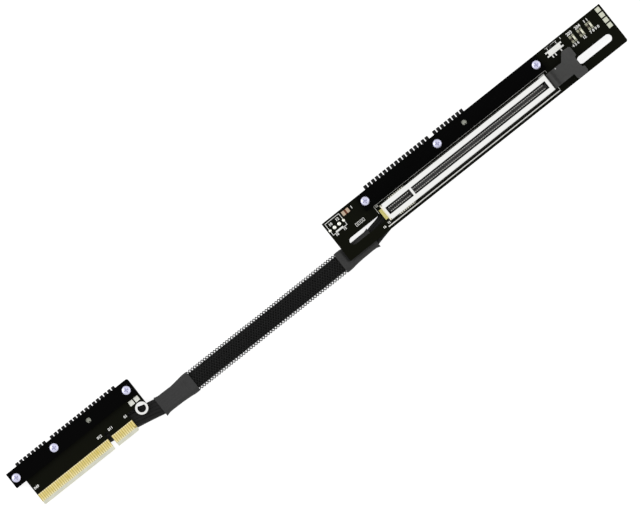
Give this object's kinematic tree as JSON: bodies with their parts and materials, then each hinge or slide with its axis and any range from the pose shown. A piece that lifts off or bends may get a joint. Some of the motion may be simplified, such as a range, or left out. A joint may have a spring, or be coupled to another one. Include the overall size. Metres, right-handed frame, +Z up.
{
  "type": "pcie riser card",
  "caption": "Flexible riser: a plug board with a gold card edge, a short sleeved cable, and a socket board with a long card slot, its latch and a slide switch.",
  "frame": {"origin": "middle of the whole strip, on the surface it lies on", "axes": "+X along the strip from the plug board to the socket board, +Y across it towards the edges with the wire loops, +Z up out of the card slot"},
  "size_m": [0.3224, 0.0249, 0.0169],
  "materials": {
    "board_laminate": "black solder mask over glass laminate",
    "cover_laminate": "black solder mask over glass laminate",
    "gold_plate": "gold plating",
    "tinned_copper": "tinned copper",
    "screw_steel": "nickel plated steel",
    "wire_jacket": "satin black wire jacket",
    "shrink_tubing": "shrunk black tubing",
    "sleeve_braid": "braided black monofilament",
    "slot_plastic": "white moulded plastic",
    "contact_metal": "plated copper alloy",
    "clip_metal": "plated copper alloy",
    "latch_plastic": "dark grey moulded plastic",
    "switch_steel": "tinned sheet steel",
    "black_plastic": "black moulded plastic",
    "led_body": "cast resin",
    "resistor_body": "glazed ceramic",
    "capacitor_body": "fired ceramic"
  },
  "bodies": {
    "riser": {"plug_board": "board_laminate", "plug_fingers_front": "gold_plate", "plug_fingers_back": "gold_plate", "plug_front_cover": "cover_laminate", "plug_back_cover": "cover_laminate", "plug_screws": "screw_steel", "plug_standoffs": "screw_steel", "plug_shim": "cover_laminate", "plug_window_pads": "tinned_copper", "plug_test_pads": "tinned_copper", "plug_ring_pad": "tinned_copper", "plug_wire_loops": "wire_jacket", "plug_wire_fan": "wire_jacket", "plug_shrink_tube": "shrink_tubing", "cable_wires": "wire_jacket", "cable_sleeve": "sleeve_braid", "socket_shrink_tube": "shrink_tubing", "socket_wire_fan": "wire_jacket", "socket_wire_loops": "wire_jacket", "socket_board": "board_laminate", "socket_front_cover": "cover_laminate", "socket_back_cover": "cover_laminate", "socket_screws": "screw_steel", "socket_standoffs": "screw_steel", "socket_shim": "cover_laminate", "socket_window_pads": "tinned_copper", "slot_housing": "slot_plastic", "slot_contacts_inner": "contact_metal", "slot_contacts_outer": "contact_metal", "slot_clip": "clip_metal", "latch_pin": "screw_steel", "switch_shell": "switch_steel", "switch_base": "black_plastic", "switch_leads": "tinned_copper", "status_leds": "led_body", "status_led_ends": "tinned_copper", "led_resistors": "resistor_body", "led_resistor_ends": "tinned_copper", "chip_pads": "tinned_copper", "input_capacitor": "capacitor_body", "input_capacitor_ends": "tinned_copper", "header_pads": "tinned_copper", "socket_test_pads": "tinned_copper"},
    "latch": {"slot_latch": "latch_plastic"},
    "switch_slider": {"switch_knob": "black_plastic"}
  },
  "joints": [
    {"name": "latch_press", "type": "hinge", "parent": "riser", "child": "latch", "pos_m": [0.12657, -0.00258, 0.0082], "axis": [0, 1, 0], "range_deg": [0, 20]},
    {"name": "switch_slide", "type": "slide", "parent": "riser", "child": "switch_slider", "axis": [1, 0, 0], "range_m": [0, 0.0015]}
  ]
}
